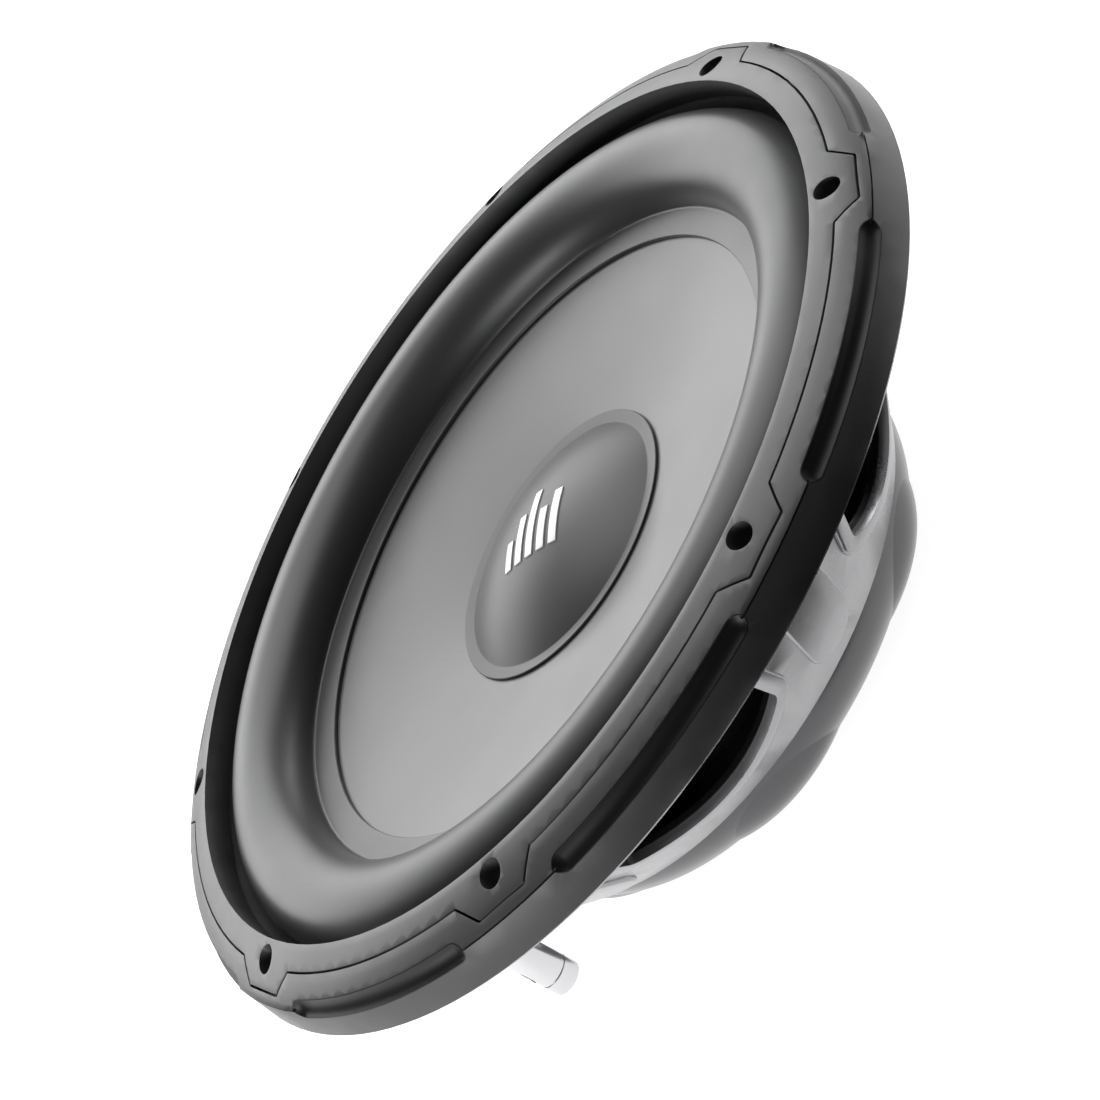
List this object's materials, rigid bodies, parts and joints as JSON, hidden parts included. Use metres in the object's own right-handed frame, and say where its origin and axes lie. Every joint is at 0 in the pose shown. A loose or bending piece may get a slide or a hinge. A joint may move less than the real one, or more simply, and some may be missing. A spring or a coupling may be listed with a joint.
{
  "type": "car subwoofer speaker",
  "caption": "Shallow round car subwoofer driver: spring-loaded cone in a cast basket with a front trim ring, a bolted flange and push terminals.",
  "frame": {"origin": "centre of the motor's back face, on the cone's axis", "axes": "+Z along the cone's axis, out of the front; +X through one mounting hole, with the terminals on the -X side"},
  "size_m": [0.2726, 0.2726, 0.0871],
  "materials": {
    "basket_metal": "satin cast, clear coated",
    "trim_rubber": "satin black, fine grain",
    "ring_plastic": "satin black, fine grain",
    "surround_rubber": "satin butyl rubber",
    "cone_plastic": "satin injection moulded",
    "cap_plastic": "satin",
    "badge_ink": "white print",
    "spider_cloth": "black resin-treated cotton weave",
    "former_metal": "plain",
    "copper": "enamelled copper winding",
    "motor_steel": "black zinc plated",
    "ferrite": "ground ferrite",
    "cover_metal": "satin metallic grey",
    "mesh_steel": "zinc plated",
    "black_steel": "black oxide",
    "block_plastic": "glass-filled nylon",
    "terminal_chrome": "bright nickel",
    "ring_black": "gloss",
    "ring_red": "gloss",
    "lug_brass": "tinned",
    "lead_braid": "braided tinsel"
  },
  "bodies": {
    "frame": {"basket": "basket_metal", "trim_ring": "trim_rubber", "clamp_ring": "ring_plastic", "surround": "surround_rubber", "spider": "spider_cloth", "top_plate": "motor_steel", "magnet": "ferrite", "yoke": "motor_steel", "shorting_ring": "former_metal", "motor_cover": "cover_metal", "vent_screen": "mesh_steel", "motor_screws": "black_steel", "terminal_block": "block_plastic", "terminal_barrel_negative": "terminal_chrome", "terminal_collar_negative": "terminal_chrome", "terminal_ring_negative": "ring_black", "terminal_nut_negative": "mesh_steel", "solder_lug_negative": "lug_brass", "terminal_spring_negative": "mesh_steel", "tinsel_lead_negative": "lead_braid", "terminal_barrel_positive": "terminal_chrome", "terminal_collar_positive": "terminal_chrome", "terminal_ring_positive": "ring_red", "terminal_nut_positive": "mesh_steel", "solder_lug_positive": "lug_brass", "terminal_spring_positive": "mesh_steel", "tinsel_lead_positive": "lead_braid"},
    "cone": {"cone": "cone_plastic", "dust_cap": "cap_plastic", "badge": "badge_ink", "coil_former": "former_metal", "voice_coil": "copper", "coil_tab_negative": "copper", "coil_tab_positive": "copper"},
    "plunger_negative": {"terminal_plunger_negative": "terminal_chrome"},
    "plunger_positive": {"terminal_plunger_positive": "terminal_chrome"}
  },
  "joints": [
    {"name": "cone_travel", "type": "slide", "parent": "frame", "child": "cone", "axis": [0, 0, 1], "range_m": [-0.008, 0.008], "stiffness_N_per_m": 5000, "deforming": ["surround", "spider", "tinsel_lead_negative", "tinsel_lead_positive"]},
    {"name": "press_negative", "type": "slide", "parent": "frame", "child": "plunger_negative", "axis": [0, 0, 1], "range_m": [0, 0.003], "stiffness_N_per_m": 800, "springref_m": -0.003, "deforming": ["terminal_spring_negative"]},
    {"name": "press_positive", "type": "slide", "parent": "frame", "child": "plunger_positive", "axis": [0, 0, 1], "range_m": [0, 0.003], "stiffness_N_per_m": 800, "springref_m": -0.003, "deforming": ["terminal_spring_positive"]}
  ]
}
